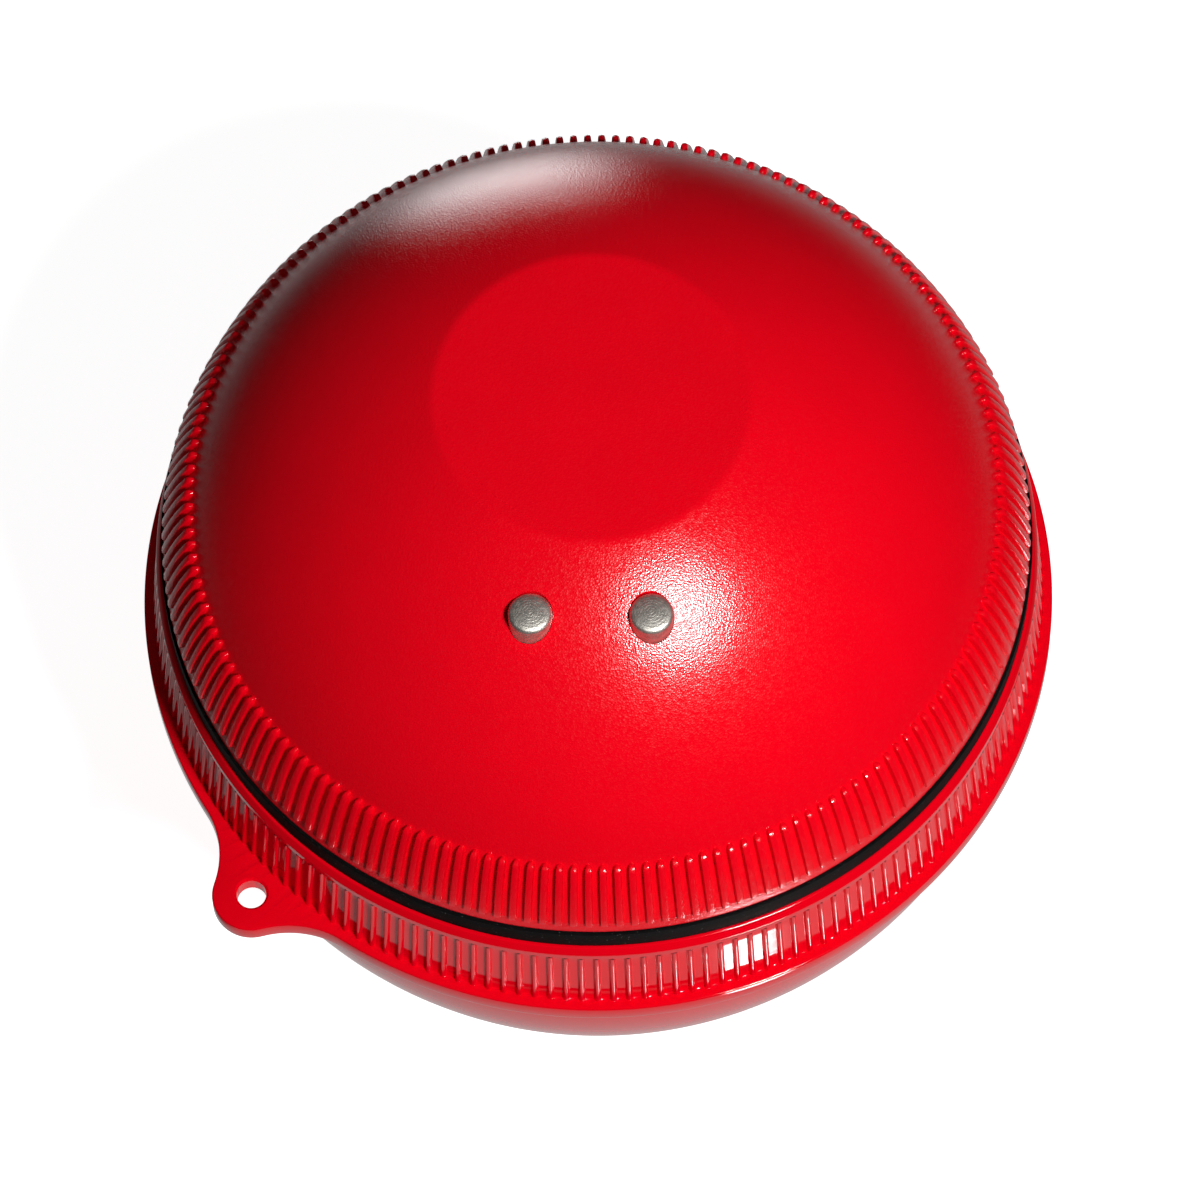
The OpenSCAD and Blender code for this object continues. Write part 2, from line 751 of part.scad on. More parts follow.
module coin_cell_cap() {
    color("silver") {
        translate([0, 0, cell_top_z - cap_proud - cap_depth]) cylinder(r = cap_r, h = cap_depth);
        translate([0, 0, cell_top_z - cap_proud]) cylinder(r = cap_r - 0.4, h = cap_proud);
    }
}

top_shell();
bottom_shell();
seal_ring();
contact_stud_left();
contact_stud_right();
stud_o_rings();
stud_clamp();
clamp_screw();
stud_leaf_springs();
sounder_glue();
sounder_plate();
sounder_ceramic();
sounder_electrode();
sounder_wire_red();
sounder_wire_black();
wire_solder_joints();
circuit_board();
board_screws();
microcontroller();
microcontroller_leads();
watch_crystal();
ceramic_capacitors();
chip_resistors();
driver_transistor();
inductor_core();
inductor_winding();
battery_holder();
battery_clip();
battery_contact();
coin_cell_can();
coin_cell_cap();
coin_cell_gasket();
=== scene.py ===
import json
import math

import bpy
from mathutils import Matrix, Vector


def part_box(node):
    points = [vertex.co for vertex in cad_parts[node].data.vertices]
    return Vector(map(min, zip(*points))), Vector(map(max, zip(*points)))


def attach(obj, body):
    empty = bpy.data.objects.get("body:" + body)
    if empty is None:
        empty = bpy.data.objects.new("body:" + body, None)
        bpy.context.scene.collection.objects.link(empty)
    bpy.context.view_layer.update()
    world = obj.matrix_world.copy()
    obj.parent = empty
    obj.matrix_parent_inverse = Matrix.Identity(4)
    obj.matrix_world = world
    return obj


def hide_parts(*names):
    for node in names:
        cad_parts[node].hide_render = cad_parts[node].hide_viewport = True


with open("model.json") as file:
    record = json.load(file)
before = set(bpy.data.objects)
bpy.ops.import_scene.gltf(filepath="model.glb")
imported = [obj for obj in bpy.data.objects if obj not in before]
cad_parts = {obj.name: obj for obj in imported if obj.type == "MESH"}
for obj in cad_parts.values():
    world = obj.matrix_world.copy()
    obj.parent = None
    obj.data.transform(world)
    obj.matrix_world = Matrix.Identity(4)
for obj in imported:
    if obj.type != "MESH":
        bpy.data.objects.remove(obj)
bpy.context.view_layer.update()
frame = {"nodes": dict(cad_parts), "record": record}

MM = 0.001


# ---- Sizes, in millimetres, from the frame ----

def node_box(node):
    """Lowest and highest corner of a solid."""
    low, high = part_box(node)
    return low / MM, high / MM


def chord(radius, height):
    """Radius of a sphere's section at a height from its centre."""
    return math.sqrt(radius ** 2 - height ** 2)


top_low, top_high = node_box("top_shell")
_, bottom_high = node_box("bottom_shell")
seal_low, seal_high = node_box("seal_ring")
_, board_high = node_box("circuit_board")
_, screws_high = node_box("board_screws")
clamp_low, clamp_high = node_box("stud_clamp")
_, glue_high = node_box("sounder_glue")
eye_mount = next(m for m in frame["record"]["mounts"] if m["name"] == "lanyard_eye")
eye_at = Vector(eye_mount["pos_m"]) / MM
eye_hole_r = eye_mount["dims"]["r_mm"]

# The case
flange_t = eye_mount["dims"]["length_mm"]
flange_z = eye_at.z + flange_t / 2              # top of the flange
under_z = flange_z - flange_t                   # underside of the flange
flange_r = bottom_high.x
flange_edge = 0.1                               # rounding of the flange's edges
collar_z = bottom_high.z                        # top of the lower half's lip
seal_drop = 0.16                                # how much lower the seal's top is than its solid's
seal_top_z = seal_high.z - seal_drop
rim_z = seal_top_z + seal_low.z - collar_z      # lower edge of the dome
facet_z = top_high.z
spigot_z = top_low.z
wall = 1.6
bowl_r = flange_r - 0.75
bowl_z = flange_z - 1
dome_r = flange_r - 0.72
dome_z = flange_z + 0.87
foot_flare = 0.16                               # how far the dome's foot stands out from its ball
dome_inner_r = flange_r - 0.5 - wall
dome_inner_z = flange_z + 0.65
facet_edge = 1.2                                # rounding round the facet, and round the foot

# The grip bands
rib_count = 180
upper_rib_z = rim_z + 0.52
rib_tip_z = upper_rib_z + 3.34
upper_rib_h = 0.33
upper_rib_low_h = 0.2                           # height of the upper ribs at their lower ends
upper_rib_turn = -0.27                          # turns and half widths are shares of the pitch
upper_rib_half = 0.27
tip_run = 0.34                                  # length of an upper rib's rounded tip
lower_rib_h = 0.18
lower_rib_turn = 0.18
lower_rib_half = 0.205
lip_h = 0.82
lip_z = collar_z - lip_h
lip_bevel = 0.2
rib_foot_r = flange_r - 0.4
rib_top_r = rib_foot_r - 0.42

# The screw joint
collar_r = rib_top_r - lower_rib_h - 1.6
seat_r = collar_r - 0.1
spigot_r = collar_r - 0.4
spigot_bore_r = spigot_r - 1.3
lead = 2.0
thread_gap = 0.07
thread_start = 0.6
spigot_turns = 1.9
collar_turns = 1.4
seal_fit = 0.06
seal_edge = 0.05

# What hangs in the dome
stud_boxes = {side: node_box("contact_stud_" + side) for side in ("left", "right")}
stud_r = 0.975
stud_fit = 0.03
stud_crown = 0.12                               # how much higher a stud's middle is than its rim
shoulder_t = 0.7
tail_r = 0.6
pod_z = clamp_high.z
pod_r = (clamp_high.y - clamp_low.y) / 2 + 0.1
sink_r = pod_r - 0.7
sink_h = shoulder_t + 0.58
stud_y = (clamp_low.y + clamp_high.y) / 2
stud_x = (stud_boxes["right"][0].x + stud_boxes["right"][1].x) / 2
board_z = board_high.z
boss_r = 1.9
screw_head_r = 1.3
boss_reach = screws_high.y - screw_head_r       # the screws' distance from the middle
boss_angles = (90, 210, 330)
screw_hole_r = 0.67
clamp_hole_depth = 2.2
boss_hole_depth = 3.2
seat_ring_r = glue_high.x + 0.1
seat_ring_w = 0.8

SMOOTH = 360                # columns round a smooth surface
INSIDE = 180                # columns round a hidden surface
PITCH = 2 * math.pi / rib_count
START = -PITCH / 2          # every ring starts in the valley beside the first rib


# ---- Mesh building ----

class Skin:
    """A surface built ring by ring round Z. Its outside lies to the right of the way that it is
    built."""

    def __init__(self):
        self.points = []
        self.faces = []
        self.last = None

    def ring(self, points):
        """Adds a ring, and the faces between it and the ring before it, which may have more or
        fewer points."""
        first = len(self.points)
        self.points += points
        new = range(first, first + len(points))
        if self.last is None:
            self.faces.append(tuple(reversed(new)))
        else:
            self.bridge(self.last, new)
        self.last = new

    def bridge(self, old, new):
        count = min(len(old), len(new))
        old_step = len(old) // count
        new_step = len(new) // count
        for i in range(count):
            below = [old[(i * old_step + k) % len(old)] for k in range(old_step + 1)]
            above = [new[(i * new_step + k) % len(new)] for k in range(new_step + 1)]
            self.faces.append(tuple(below + above[::-1]))

    def turned(self, outline, columns):
        """Adds a ring for each (radius, height) of an outline."""
        for radius, height in outline:
            self.ring(circle(radius, height, columns))

    def close(self):
        self.faces.append(tuple(self.last))


def ring_angles(columns):
    return [START + 2 * math.pi * i / columns for i in range(columns)]


def circle(radius, height, columns):
    return [(radius * math.cos(a), radius * math.sin(a), height) for a in ring_angles(columns)]


def mesh_object(name, points, faces, at=(0, 0, 0)):
    """An object from points in millimetres about a place, which is in millimetres too."""
    mesh = bpy.data.meshes.new(name)
    mesh.from_pydata([Vector(p) * MM for p in points], [], faces)
    mesh.validate()
    thing = bpy.data.objects.new(name, mesh)
    thing.location = Vector(at) * MM
    bpy.context.scene.collection.objects.link(thing)
    return thing


def arc(centre, radius, start, end, steps):
    """Points of an arc, with the angles in degrees from the outward direction."""
    angles = [math.radians(start + (end - start) * i / steps) for i in range(steps + 1)]
    return [(centre[0] + radius * math.cos(a), centre[1] + radius * math.sin(a)) for a in angles]


def sphere_outline(radius, centre_z, low_z, high_z, steps):
    """Outline of a sphere's side between two heights."""
    low = math.degrees(math.asin((low_z - centre_z) / radius))
    high = math.degrees(math.asin((high_z - centre_z) / radius))
    return arc((0, centre_z), radius, low, high, steps)


def soften(outline, steps=5):
    """An outline whose corners, given as (radius, height, rounding), are rounded. Two numbers
    stay a plain point."""
    made = []
    for i, corner in enumerate(outline):
        here = Vector(corner[:2])
        if len(corner) == 2:
            made.append(tuple(here))
            continue
        back = (Vector(outline[i - 1][:2]) - here).normalized()
        ahead = (Vector(outline[i + 1][:2]) - here).normalized()
        half = back.angle(ahead) / 2
        start = here + back * corner[2] / math.tan(half)
        end = here + ahead * corner[2] / math.tan(half)
        middle = here + (back + ahead).normalized() * corner[2] / math.sin(half)
        sweep = (end - middle).angle(start - middle)
        for k in range(steps + 1):
            part = k / steps
            made.append(tuple(middle + ((start - middle) * math.sin((1 - part) * sweep)
                                        + (end - middle) * math.sin(part * sweep))
                              / math.sin(sweep)))
    return made


def lathe(name, outline, columns=96, at=(0, 0, 0)):
    """A closed turned piece from an outline that goes up its outside."""
    skin = Skin()
    skin.turned(outline, columns)
    skin.close()
    return mesh_object(name, skin.points, skin.faces, at)


def prism(name, outline, low_z, high_z, at=(0, 0, 0)):
    """A closed straight piece over an outline that goes anticlockwise."""
    skin = Skin()
    skin.ring([(x, y, low_z) for x, y in outline])
    skin.ring([(x, y, high_z) for x, y in outline])
    skin.close()
    return mesh_object(name, skin.points, skin.faces, at)


def stadium(gap, radius, steps=24):
    """Outline of a bar with round ends, along X."""
    right = arc((gap / 2, 0), radius, -90, 90, steps)
    left = arc((-gap / 2, 0), radius, 90, 270, steps)
    return right + left


def combine(target, tool, operation):
    """Joins a tool to a piece, cuts it out of it, or keeps what they share. The tool goes."""
    change = target.modifiers.new(operation, "BOOLEAN")
    change.operation = operation
    change.solver = "MANIFOLD"
    change.object = tool
    bpy.context.view_layer.update()
    seen = target.evaluated_get(bpy.context.evaluated_depsgraph_get())
    target.data = bpy.data.meshes.new_from_object(seen)
    target.modifiers.clear()
    bpy.data.objects.remove(tool)


def helix_ridge(name, root_r, crest_r, low_z, turns):
    """A trapezoid ridge of a right-hand thread that fades out at both ends."""
    foot_half, crest_half = 0.42, 0.16
    bite = 0.12 if crest_r > root_r else -0.12      # how deep the ridge sits in the wall
    turn_steps = 90
    fade = 1 / 8                                    # turns over which the ridge grows
    least = 0.05                                    # share of its height at its very ends
    steps = int(turns * turn_steps)
    points = []
    faces = []
    for i in range(steps + 1):
        turn = 2 * math.pi * turns * i / steps
        grown = min(1, min(i, steps - i) / turn_steps / fade + least)
        top_r = root_r + (crest_r - root_r) * grown
        middle = low_z + thread_start + lead * turn / (2 * math.pi)
        for radius, height in ((root_r - bite, -foot_half), (top_r, -crest_half),
                               (top_r, crest_half), (root_r - bite, foot_half)):
            points.append((radius * math.cos(turn), radius * math.sin(turn), middle + height))
        if i:
            old, new = 4 * (i - 1), 4 * i
            faces += [(old + k, old + (k + 1) % 4, new + (k + 1) % 4, new + k) for k in range(4)]
    faces += [(3, 2, 1, 0), tuple(4 * steps + k for k in range(4))]
    if crest_r < root_r:
        faces = [face[::-1] for face in faces]
    return mesh_object(name, points, faces)


def finish_shading(thing, angle=38):
    """Smooth shading with crisp corners, and flat faces that stay flat."""
    thing.data.shade_smooth()
    thing.data.set_sharp_from_angle(angle=math.radians(angle))
    weigh = thing.modifiers.new("flat_faces", "WEIGHTED_NORMAL")
    weigh.keep_sharp = True


# ---- Grip bands ----

def band_columns(half, foot, shares, swell):
    """Offset from the rib's middle, in pitches, and height of each column over one pitch."""
    valley = [(-0.5, 0.0), (-half - foot, 0.0)]
    rib = [(half * s, swell(s)) for s in shares]
    return valley + rib + [(half + foot, 0.0)]


def flat_topped(s):
    crown = 0.03
    return (1 - crown) * (1 - abs(s) ** 7) ** 0.5 + crown * (1 - s * s)


def half_round(s):
    return math.sqrt(max(0, 1 - s ** 2))


FLAT_SHARES = (-1, -0.985, -0.93, -0.78, 0, 0.78, 0.93, 0.985, 1)
ROUND_SHARES = (-0.995, -0.87, -0.65, -0.35, 0, 0.35, 0.65, 0.87, 0.995)


def band_ring(columns, narrowing, turn, place):
    """A ring over all ribs, turned by a share of a pitch. place gives the radius and height of a
    column from its share of the rib's height."""
    points = []
    for rib in range(rib_count):
        for offset, height in columns:
            if abs(offset) < 0.5:
                offset = offset * narrowing
            angle = (rib + offset + turn) * PITCH
            radius, z = place(height)
            points.append((radius * math.cos(angle), radius * math.sin(angle), z))
    return points


def upper_band(skin):
    """Ribs that stand on the dome: square at their lower ends, and rounded off at their tips."""
    foot = 0.012
    full_height_share = 1 / 1.6         # share of a rib's length by which it has its full height
    columns = band_columns(upper_rib_half, foot, FLAT_SHARES, flat_topped)
    low = math.asin((upper_rib_z - dome_z) / dome_r)
    high = math.asin((rib_tip_z - dome_z) / dome_r)
    run = tip_run / dome_r
    end_run = 0.005
    straight_from = low + end_run
    straight_steps = 8
    # Rows of angle over the dome's middle, share of the rib's height, and share of its width
    rows = [(low, 0.0, 1.0), (low + 0.0005, 0.7, 1.0), (low + 0.0015, 0.92, 1.0),
            (straight_from, 1.0, 1.0)]
    rows += [(straight_from + (high - run - straight_from) * i / straight_steps, 1.0, 1.0)
             for i in range(1, straight_steps + 1)]
    for t in (0.3, 0.55, 0.75, 0.9, 0.98, 1.0):
        rows.append((high - run + run * t, half_round(t), max(0.3, (1 - t * t) ** (1 / 3))))
    rows.append((high + 0.004, 0.0, 1.0))
    for angle, grown, narrowing in rows:
        share = (angle - low) / (high - low)
        raised = min(1, share / full_height_share)
        crest = upper_rib_low_h + (upper_rib_h - upper_rib_low_h) * raised

        def place(height, angle=angle, base=dome_r + foot_flare * (1 - share), proud=crest * grown):
            radius = base + proud * height
            return radius * math.cos(angle), dome_z + radius * math.sin(angle)
        skin.ring(band_ring(columns, narrowing, upper_rib_turn, place))


def lower_band(skin):
    """Narrow ribs that lean in with the wall, from the flange up to the lip."""
    columns = band_columns(lower_rib_half, 0.02, ROUND_SHARES, half_round)
    fillet = 0.07
    top = lip_z - flange_z
    # Rows of height over the flange, share of the rib's height, and how far the wall flares
    rows = [(0.0, 0.55, fillet), (0.03, 0.85, fillet * 0.45), (fillet, 1.0, 0.0)]
    rows += [(height, 1.0, 0.0) for height in (0.8, 1.6, 2.4, 3.2)]
    rows += [(top - 0.1, 1.0, 0.0), (top, 1.0, 0.02)]
    for height, grown, flare in rows:
        crest = rib_foot_r + (rib_top_r - rib_foot_r) * height / top

        def place(column, crest=crest, grown=grown, flare=flare, z=flange_z + height):
            return crest - lower_rib_h + lower_rib_h * column * grown + flare, z
        skin.ring(band_ring(columns, 1.0, lower_rib_turn, place))


# ---- The halves of the case ----

def dome_ball():
    """A ball halfway into the dome's wall, cut flat just under the facet. It trims what hangs
    in the dome."""
    radius = dome_r - wall / 2
    top_z = facet_z - 0.4
    outline = sphere_outline(radius, dome_z, dome_z - radius * 0.999, top_z, 64)
    return lathe("ball", outline, INSIDE)


def boss_places():
    """Middles of the board's three bosses."""
    turns = [math.radians(angle) for angle in boss_angles]
    return [(boss_reach * math.cos(turn), boss_reach * math.sin(turn), 0) for turn in turns]


def make_dome():
    skin = Skin()
    inner_top = facet_z - wall
    join_z = dome_inner_z + chord(dome_inner_r, spigot_bore_r)
    inside = sphere_outline(dome_inner_r, dome_inner_z, inner_top, join_z, 24)
    skin.turned(inside, INSIDE)
    skin.turned(soften([(spigot_bore_r, join_z - 0.2), (spigot_bore_r, spigot_z, 0.2),
                        (spigot_r, spigot_z, 0.25), (spigot_r, collar_z - 0.02)])[:-1], INSIDE)
    rim_r = chord(dome_r, rim_z - dome_z) + foot_flare
    foot_r = chord(dome_r, upper_rib_z - dome_z) + foot_flare
    rim_w = 0.35
    skin.turned(soften([(spigot_r, collar_z - 0.02), (spigot_r, collar_z), (seat_r, collar_z, 0.08),
                        (seat_r, rim_z, 0.1), (rim_r - rim_w, rim_z), (rim_r, rim_z, 0.05),
                        (foot_r, upper_rib_z)]), SMOOTH)
    skin.turned([(foot_r, upper_rib_z - 0.02)], SMOOTH)
    upper_band(skin)
    above = sphere_outline(dome_r, dome_z, rib_tip_z + 0.12, facet_z, 46)
    facet_r = above[-1][0]
    above[-1] = (facet_r, facet_z, facet_edge)
    skin.turned(soften(above + [(facet_r - 1, facet_z)])[:-1], SMOOTH)
    for radius in (6, 3):
        skin.turned([(radius, facet_z)], SMOOTH)
    skin.close()
    dome = mesh_object("dome_shell", skin.points, skin.faces)

    for at in boss_places():
        boss = lathe("boss", [(boss_r, board_z), (boss_r, facet_z)], 48, at)
        combine(boss, dome_ball(), "INTERSECT")
        combine(dome, boss, "UNION")
    pod_outline = [(x, y + stud_y) for x, y in stadium(2 * stud_x, pod_r)]
    pod = prism("pod", pod_outline, pod_z, facet_z)
    combine(pod, dome_ball(), "INTERSECT")
    combine(dome, pod, "UNION")
    seat_bore_r = seat_ring_r - seat_ring_w
    seat = lathe("seat", [(seat_ring_r, glue_high.z), (seat_ring_r, facet_z - wall / 2)])
    hollow = lathe("hollow", [(seat_bore_r, glue_high.z - 1), (seat_bore_r, facet_z)])
    combine(seat, hollow, "DIFFERENCE")
    combine(dome, seat, "UNION")
    thread = helix_ridge("thread", spigot_r, collar_r - thread_gap, spigot_z, spigot_turns)
    combine(dome, thread, "UNION")
    # Each cutter starts 1 mm under the face that it cuts into
    cuts = []
    for side in (-1, 1):
        at = (side * stud_x, stud_y, 0)
        cuts += [("bore", stud_r + stud_fit, pod_z, facet_z + 1, 64, at),
                 ("sink", sink_r, pod_z, pod_z + sink_h, 64, at)]
    cuts.append(("hole", screw_hole_r, pod_z, pod_z + clamp_hole_depth, 32, (0, stud_y, 0)))
    cuts += [("hole", screw_hole_r, board_z, board_z + boss_hole_depth, 32, at)
             for at in boss_places()]
    for name, radius, face_z, end_z, columns, at in cuts:
        cutter = lathe(name, [(radius, face_z - 1), (radius, end_z)], columns, at)
        combine(dome, cutter, "DIFFERENCE")
    finish_shading(dome)
    return dome


eye_angle = math.atan2(eye_at.y, eye_at.x)
eye_reach = math.hypot(eye_at.x, eye_at.y)
eye_r = 1.8
eye_blend_r = 4.5


def flange_point(angle):
    """Place and outward direction of the flange's edge at an angle round the case, with the
    lanyard eye."""
    off = (angle - eye_angle + math.pi) % (2 * math.pi) - math.pi
    side = math.copysign(1, off)
    to_blend, to_eye = flange_r + eye_blend_r, eye_r + eye_blend_r
    along = (to_blend ** 2 - to_eye ** 2 + eye_reach ** 2) / (2 * eye_reach)
    blend = Vector((along, side * chord(to_blend, along)))
    eye = Vector((eye_reach, 0))
    touch = eye + (blend - eye).normalized() * eye_r
    ray = Vector((math.cos(off), math.sin(off)))
    if abs(off) >= math.atan2(abs(blend.y), blend.x):
        point, out = ray * flange_r, ray
    elif abs(off) >= math.atan2(abs(touch.y), touch.x):
        across = blend.length * math.sin(abs(math.atan2(blend.y, blend.x)) - abs(off))
        point = ray * (math.sqrt(blend.length ** 2 - across ** 2) - chord(eye_blend_r, across))
        out = (blend - point).normalized()
    else:
        across = eye_reach * math.sin(off)
        point = ray * (eye_reach * math.cos(off) + chord(eye_r, across))
        out = (point - eye).normalized()
    turn = (math.cos(eye_angle), math.sin(eye_angle))
    return [Vector((v.x * turn[0] - v.y * turn[1], v.x * turn[1] + v.y * turn[0]))
            for v in (point, out)]


def flange_ring(columns, inset, z):
    """A ring that follows the flange's edge, some way inside it."""
    points = []
    for angle in ring_angles(columns):
        point, out = flange_point(angle)
        point = point - out * inset
        points.append((point.x, point.y, z))
    return points


def make_bowl():
    skin = Skin()
    fillet = 0.2
    foot_r = chord(bowl_r, bowl_z)
    side = sphere_outline(bowl_r, bowl_z, 0, under_z - 0.18, 44)
    skin.turned([(radius, 0) for radius in (3, 5.5)], SMOOTH)
    skin.turned(soften([(foot_r - 1, 0), (foot_r, 0, facet_edge)] + side[1:])[1:], SMOOTH)
    corner = chord(bowl_r, under_z - bowl_z)
    skin.turned(arc((corner + fillet, under_z - fillet), fillet, 180, 90, 4), SMOOTH)
    for face_z, inward, turns in ((under_z, 1, (-90, -60, -30, 0)),
                                  (flange_z, -1, (0, 30, 60, 90))):
        for turn in turns:
            swing = math.radians(turn)
            skin.ring(flange_ring(3 * SMOOTH, flange_edge * (1 - math.cos(swing)),
                                  face_z + flange_edge * (inward + math.sin(swing))))
    lower_band(skin)
    skin.turned([(rib_top_r - 0.05, lip_z), (rib_top_r, lip_z + 0.05)], SMOOTH)
    bevel_z = collar_z - lip_h / 2
    skin.turned(soften([(rib_top_r, lip_z + 0.15), (rib_top_r, bevel_z, 0.2),
                        (rib_top_r - lip_bevel, collar_z, 0.1), (collar_r, collar_z, 0.15),
                        (collar_r, collar_z - 1)])[1:-1], SMOOTH)
    inner_r = bowl_r - wall
    join_z = bowl_z - chord(inner_r, collar_r)
    skin.turned([(collar_r, collar_z - 0.5), (collar_r, join_z)], INSIDE)
    inside = sphere_outline(inner_r, bowl_z, join_z, wall, 24)
    skin.turned(inside[1:], INSIDE)
    skin.close()
    bowl = mesh_object("bowl_shell", skin.points, skin.faces)
    thread = helix_ridge("thread", collar_r, spigot_r + thread_gap, spigot_z + lead / 2,
                         collar_turns)
    combine(bowl, thread, "UNION")
    chamfer = 0.12
    hole = lathe("hole", [(eye_hole_r + 1, under_z - 1 + chamfer), (eye_hole_r, under_z + chamfer),
                          (eye_hole_r, flange_z - chamfer),
                          (eye_hole_r + 1, flange_z + 1 - chamfer)],
                 64, (eye_at.x, eye_at.y, 0))
    combine(bowl, hole, "DIFFERENCE")
    finish_shading(bowl)
    return bowl


def make_seal():
    """The rubber band between the halves, with its edges rounded."""
    inner_r = seat_r + seal_fit
    outer_r = seal_high.x
    inner_mid = (inner_r, seal_top_z - 0.5)
    outline = soften([inner_mid, (inner_r, seal_low.z, seal_edge), (outer_r, seal_low.z, seal_edge),
                      (outer_r, seal_top_z, seal_edge), (inner_r, seal_top_z, seal_edge),
                      inner_mid])
    count = len(outline) - 1
    points = []
    for radius, height in outline[:-1]:
        points += circle(radius, height, SMOOTH)
    faces = []
    for k in range(count):
        old, new = k * SMOOTH, (k + 1) % count * SMOOTH
        for i in range(SMOOTH):
            j = (i + 1) % SMOOTH
            faces.append((old + i, old + j, new + j, new + i))
    band = mesh_object("seal_band", points, faces)
    finish_shading(band)
    return band


def make_stud(side):
    """A touch contact: a crowned face with a rounded edge, a shoulder inside the dome and a tail
    below it."""
    low, high = stud_boxes[side]
    at = ((low.x + high.x) / 2, (low.y + high.y) / 2, 0)
    shoulder_r = (high.x - low.x) / 2
    shoulder_z = pod_z + shoulder_t
    crown = [(radius, high.z - stud_crown * (radius / stud_r) ** 2)
             for radius in (0.7, 0.5, 0.3, 0.12)]
    outline = soften([(tail_r - 0.2, low.z), (tail_r, low.z, 0.1), (tail_r, pod_z),
                      (shoulder_r, pod_z, 0.08), (shoulder_r, shoulder_z, 0.08),
                      (stud_r, shoulder_z), (stud_r, high.z - stud_crown, 0.22)] + crown)
    stud = lathe("stud_" + side, outline, 96, at)
    finish_shading(stud)
    return stud


# ---- Finishes ----

class Tree:
    """The shader nodes of a material or of the world."""

    def __init__(self, owner):
        owner.use_nodes = True
        self.nodes = owner.node_tree.nodes
        self.links = owner.node_tree.links

    def feed(self, socket, source):
        """Sets a socket to a value, or links it to another node's socket."""
        if isinstance(source, bpy.types.NodeSocket):
            self.links.new(source, socket)
        else:
            socket.default_value = source

    def add(self, kind, **sources):
        """A node with its inputs fed by name."""
        node = self.nodes.new("ShaderNode" + kind)
        for name, source in sources.items():
            self.feed(node.inputs[name.replace("_", " ")], source)
        return node

    def joined(self, kind, operation, *sources):
        """A Math or VectorMath node over its sources."""
        node = self.nodes.new("ShaderNode" + kind)
        node.operation = operation
        for socket, source in zip(node.inputs, sources):
            self.feed(socket, source)
        return node

    def math(self, operation, *sources):
        return self.joined("Math", operation, *sources).outputs["Value"]

    def eased(self, source, start, end, level=1):
        """0 at the start and the level at the end, with soft ends."""
        node = self.add("MapRange", Value=source, From_Min=start, From_Max=end, To_Max=level)
        node.interpolation_type = "SMOOTHSTEP"
        return node.outputs["Result"]

    def seen(self, level):
        """The level for rays of the camera and through glass, and 0 for others."""
        path = self.add("LightPath").outputs
        either = self.math("MAXIMUM", path["Is Camera Ray"], path["Is Transmission Ray"])
        return self.math("MULTIPLY", either, level)


ROUGH_SPREAD = 0.1              # share by which a roughness varies over a surface
SPECK_SCALE = 9000
SPECK_LEVELS = (0.68, 0.78)     # noise levels at which a speck of dust starts and is full


def finish(name, colour, roughness, metallic=0.0, tone=0.06, tone_scale=400, grain=0.0,
           grain_scale=6000, coat=0.0, shine=0.5, turned=0.0, dust=0.0, sparkle=0.0):
    """A procedural material: a colour that drifts a little, a roughness that varies, and a grain
    in relief. tone is how far the colour drifts, and grain the relief's depth in metres. turned
    is the depth of rings left by a lathe, and dust the brightness of specks. sparkle makes the
    grain one of small pits, whose roughness differs by that share from one to the next."""
    made = bpy.data.materials.new(name)
    tree = Tree(made)
    shader = tree.nodes["Principled BSDF"]
    shader.inputs["Metallic"].default_value = metallic
    shader.inputs["Coat Weight"].default_value = coat
    shader.inputs["Specular IOR Level"].default_value = shine
    place = tree.add("TexCoord").outputs

    drift = tree.add("TexNoise", Vector=place["Object"], Scale=tone_scale, Detail=4).outputs["Fac"]
    colours = tree.add("ValToRGB", Fac=drift)
    dark, light = colours.color_ramp.elements
    dark.position, light.position = 0.3, 0.7
    dark.color = (*[c * (1 - tone) for c in colour], 1)
    light.color = (*[min(1, c * (1 + tone)) for c in colour], 1)
    painted = colours.outputs["Color"]
    if dust:
        scatter = tree.add("TexNoise", Vector=place["Object"], Scale=SPECK_SCALE)
        specks = tree.add("MapRange", Value=scatter.outputs["Fac"], From_Min=SPECK_LEVELS[0],
                          From_Max=SPECK_LEVELS[1])
        laid = tree.add("Mix")
        laid.data_type = "RGBA"
        tree.feed(laid.inputs["Factor"], specks.outputs["Result"])
        tree.feed(laid.inputs["A"], painted)
        tree.feed(laid.inputs["B"], (dust, dust, dust, 1))
        painted = laid.outputs["Result"]
    tree.feed(shader.inputs["Base Color"], painted)

    rough_source, rough_spread = drift, ROUGH_SPREAD
    if grain:
        kind, height, detail = ("Voronoi", "Distance", 0) if sparkle else ("Noise", "Fac", 2)
        fine = tree.add("Tex" + kind, Vector=place["Object"], Scale=grain_scale,
                        Detail=detail).outputs
        relief = tree.add("Bump", Strength=1, Distance=grain, Height=fine[height])
        if sparkle:
            pick = tree.add("SeparateColor", Color=fine["Color"])
            rough_source, rough_spread = pick.outputs["Red"], sparkle
        if turned:
            centred = tree.add("Mapping", Vector=place["Generated"], Location=(-0.5, -0.5, 0))
            rings = tree.add("TexWave", Vector=centred.outputs["Vector"], Scale=7, Distortion=6,
                             Detail=3, Detail_Scale=4)
            rings.wave_type = "RINGS"
            rings.rings_direction = "Z"
            relief = tree.add("Bump", Distance=turned, Height=rings.outputs["Fac"],
                              Normal=relief.outputs["Normal"])
        tree.feed(shader.inputs["Normal"], relief.outputs["Normal"])
    rough = tree.add("MapRange", Value=rough_source, To_Min=roughness * (1 - rough_spread),
                     To_Max=roughness * (1 + rough_spread))
    tree.feed(shader.inputs["Roughness"], rough.outputs["Result"])
    return made


def dress(thing, material):
    """Gives a piece one material."""
    thing.data.materials.clear()
    thing.data.materials.append(material)


